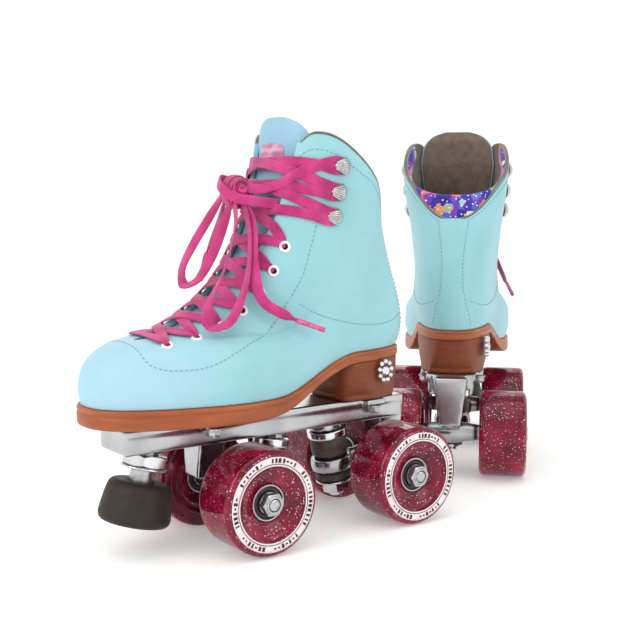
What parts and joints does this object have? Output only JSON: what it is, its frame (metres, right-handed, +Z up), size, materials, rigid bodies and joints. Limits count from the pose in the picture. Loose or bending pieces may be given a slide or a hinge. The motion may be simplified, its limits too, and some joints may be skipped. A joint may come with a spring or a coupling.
{
  "type": "quad roller skates",
  "caption": "Pair of quad roller skates: aqua high-top lace-up boots with pink laces, tan soles, aluminium plates, sprung trucks, toe stops and glittery dark red wheels.",
  "frame": {"origin": "middle of the pair's footprint, on the ground", "axes": "+Z up; the left skate's toe points to -Y and its outer side to +X; the right skate stands behind it, turned by -134.6 degrees"},
  "size_m": [0.252, 0.467, 0.2663],
  "materials": {
    "leather": "smooth matt",
    "lace": "flat woven",
    "sole": "smooth",
    "heel_stack": "smooth",
    "plate": "polished casting",
    "chrome": "polished",
    "steel": "zinc plated",
    "urethane": "translucent with glitter",
    "stop_rubber": "moulded",
    "cushion_rubber": "moulded"
  },
  "bodies": {
    "root": {"left_boot_upper": "leather", "left_tongue": "leather", "left_laces": "lace", "left_lace_bow": "lace", "left_outsole": "sole", "left_heel": "heel_stack", "left_plate": "plate", "left_toe_stop_nut": "chrome", "left_front_kingpin": "chrome", "left_front_cushions": "cushion_rubber", "left_rear_kingpin": "chrome", "left_rear_cushions": "cushion_rubber", "right_boot_upper": "leather", "right_tongue": "leather", "right_laces": "lace", "right_lace_bow": "lace", "right_outsole": "sole", "right_heel": "heel_stack", "right_plate": "plate", "right_toe_stop_nut": "chrome", "right_front_kingpin": "chrome", "right_front_cushions": "cushion_rubber", "right_rear_kingpin": "chrome", "right_rear_cushions": "cushion_rubber"},
    "left_stop_screw": {"left_toe_stop_stem": "steel"},
    "left_stop_rubber": {"left_toe_stop": "stop_rubber"},
    "left_front_truck": {"left_front_hanger": "chrome", "left_front_axle": "steel", "left_front_outer_axle_nut": "steel", "left_front_inner_axle_nut": "steel"},
    "left_front_outer_roller": {"left_front_outer_wheel": "urethane", "left_front_outer_bearings": "steel"},
    "left_front_inner_roller": {"left_front_inner_wheel": "urethane", "left_front_inner_bearings": "steel"},
    "left_rear_truck": {"left_rear_hanger": "chrome", "left_rear_axle": "steel", "left_rear_outer_axle_nut": "steel", "left_rear_inner_axle_nut": "steel"},
    "left_rear_outer_roller": {"left_rear_outer_wheel": "urethane", "left_rear_outer_bearings": "steel"},
    "left_rear_inner_roller": {"left_rear_inner_wheel": "urethane", "left_rear_inner_bearings": "steel"},
    "right_stop_screw": {"right_toe_stop_stem": "steel"},
    "right_stop_rubber": {"right_toe_stop": "stop_rubber"},
    "right_front_truck": {"right_front_hanger": "chrome", "right_front_axle": "steel", "right_front_outer_axle_nut": "steel", "right_front_inner_axle_nut": "steel"},
    "right_front_outer_roller": {"right_front_outer_wheel": "urethane", "right_front_outer_bearings": "steel"},
    "right_front_inner_roller": {"right_front_inner_wheel": "urethane", "right_front_inner_bearings": "steel"},
    "right_rear_truck": {"right_rear_hanger": "chrome", "right_rear_axle": "steel", "right_rear_outer_axle_nut": "steel", "right_rear_inner_axle_nut": "steel"},
    "right_rear_outer_roller": {"right_rear_outer_wheel": "urethane", "right_rear_outer_bearings": "steel"},
    "right_rear_inner_roller": {"right_rear_inner_wheel": "urethane", "right_rear_inner_bearings": "steel"}
  },
  "joints": [
    {"name": "left_stop_travel", "type": "slide", "parent": "root", "child": "left_stop_screw", "axis": [0, -0.23, -0.9732], "range_m": [-0.002, 0.008]},
    {"name": "left_stop_turn", "type": "hinge", "parent": "left_stop_screw", "child": "left_stop_rubber", "pos_m": [0.06743, -0.19433, 0.064], "axis": [0, -0.23, -0.9732], "range_deg": [-510, 2041]},
    {"name": "left_front_steer", "type": "hinge", "parent": "root", "child": "left_front_truck", "pos_m": [0.06743, -0.11083, 0.036], "axis": [0, -0.9854, 0.1704], "range_deg": [-7, 7], "stiffness_Nm_per_rad": 25, "deforming": ["left_front_cushions"]},
    {"name": "left_front_outer_spin", "type": "hinge", "parent": "left_front_truck", "child": "left_front_outer_roller", "pos_m": [0.10694, -0.14058, 0.0325], "axis": [1, 0, 0], "continuous": true},
    {"name": "left_front_inner_spin", "type": "hinge", "parent": "left_front_truck", "child": "left_front_inner_roller", "pos_m": [0.02794, -0.14058, 0.0325], "axis": [1, 0, 0], "continuous": true},
    {"name": "left_rear_steer", "type": "hinge", "parent": "root", "child": "left_rear_truck", "pos_m": [0.06743, -0.05583, 0.036], "axis": [0, 0.9854, 0.1704], "range_deg": [-7, 7], "stiffness_Nm_per_rad": 25, "deforming": ["left_rear_cushions"]},
    {"name": "left_rear_outer_spin", "type": "hinge", "parent": "left_rear_truck", "child": "left_rear_outer_roller", "pos_m": [0.10694, -0.02608, 0.0325], "axis": [1, 0, 0], "continuous": true},
    {"name": "left_rear_inner_spin", "type": "hinge", "parent": "left_rear_truck", "child": "left_rear_inner_roller", "pos_m": [0.02794, -0.02608, 0.0325], "axis": [1, 0, 0], "continuous": true},
    {"name": "right_stop_travel", "type": "slide", "parent": "root", "child": "right_stop_screw", "axis": [-0.1638, 0.1615, -0.9732], "range_m": [-0.002, 0.008]},
    {"name": "right_stop_turn", "type": "hinge", "parent": "right_stop_screw", "child": "right_stop_rubber", "pos_m": [-0.0846, 0.20061, 0.064], "axis": [-0.1638, 0.1615, -0.9732], "range_deg": [-510, 2041]},
    {"name": "right_front_steer", "type": "hinge", "parent": "root", "child": "right_front_truck", "pos_m": [-0.02515, 0.14197, 0.036], "axis": [-0.7016, 0.6919, 0.1704], "range_deg": [-7, 7], "stiffness_Nm_per_rad": 25, "deforming": ["right_front_cushions"]},
    {"name": "right_front_outer_spin", "type": "hinge", "parent": "right_front_truck", "child": "right_front_outer_roller", "pos_m": [-0.01859, 0.19099, 0.0325], "axis": [0.7022, 0.712, 0], "continuous": true},
    {"name": "right_front_inner_spin", "type": "hinge", "parent": "right_front_truck", "child": "right_front_inner_roller", "pos_m": [-0.07406, 0.13474, 0.0325], "axis": [0.7022, 0.712, 0], "continuous": true},
    {"name": "right_rear_steer", "type": "hinge", "parent": "root", "child": "right_rear_truck", "pos_m": [0.01401, 0.10336, 0.036], "axis": [0.7016, -0.6919, 0.1704], "range_deg": [-7, 7], "stiffness_Nm_per_rad": 25, "deforming": ["right_rear_cushions"]},
    {"name": "right_rear_outer_spin", "type": "hinge", "parent": "right_rear_truck", "child": "right_rear_outer_roller", "pos_m": [0.06293, 0.11059, 0.0325], "axis": [0.7022, 0.712, 0], "continuous": true},
    {"name": "right_rear_inner_spin", "type": "hinge", "parent": "right_rear_truck", "child": "right_rear_inner_roller", "pos_m": [0.00746, 0.05434, 0.0325], "axis": [0.7022, 0.712, 0], "continuous": true}
  ],
  "couplings": [
    {"joint": "left_stop_travel", "follows": "left_stop_turn", "m_per_rad": 0.00022457},
    {"joint": "right_stop_travel", "follows": "right_stop_turn", "m_per_rad": 0.00022457}
  ]
}
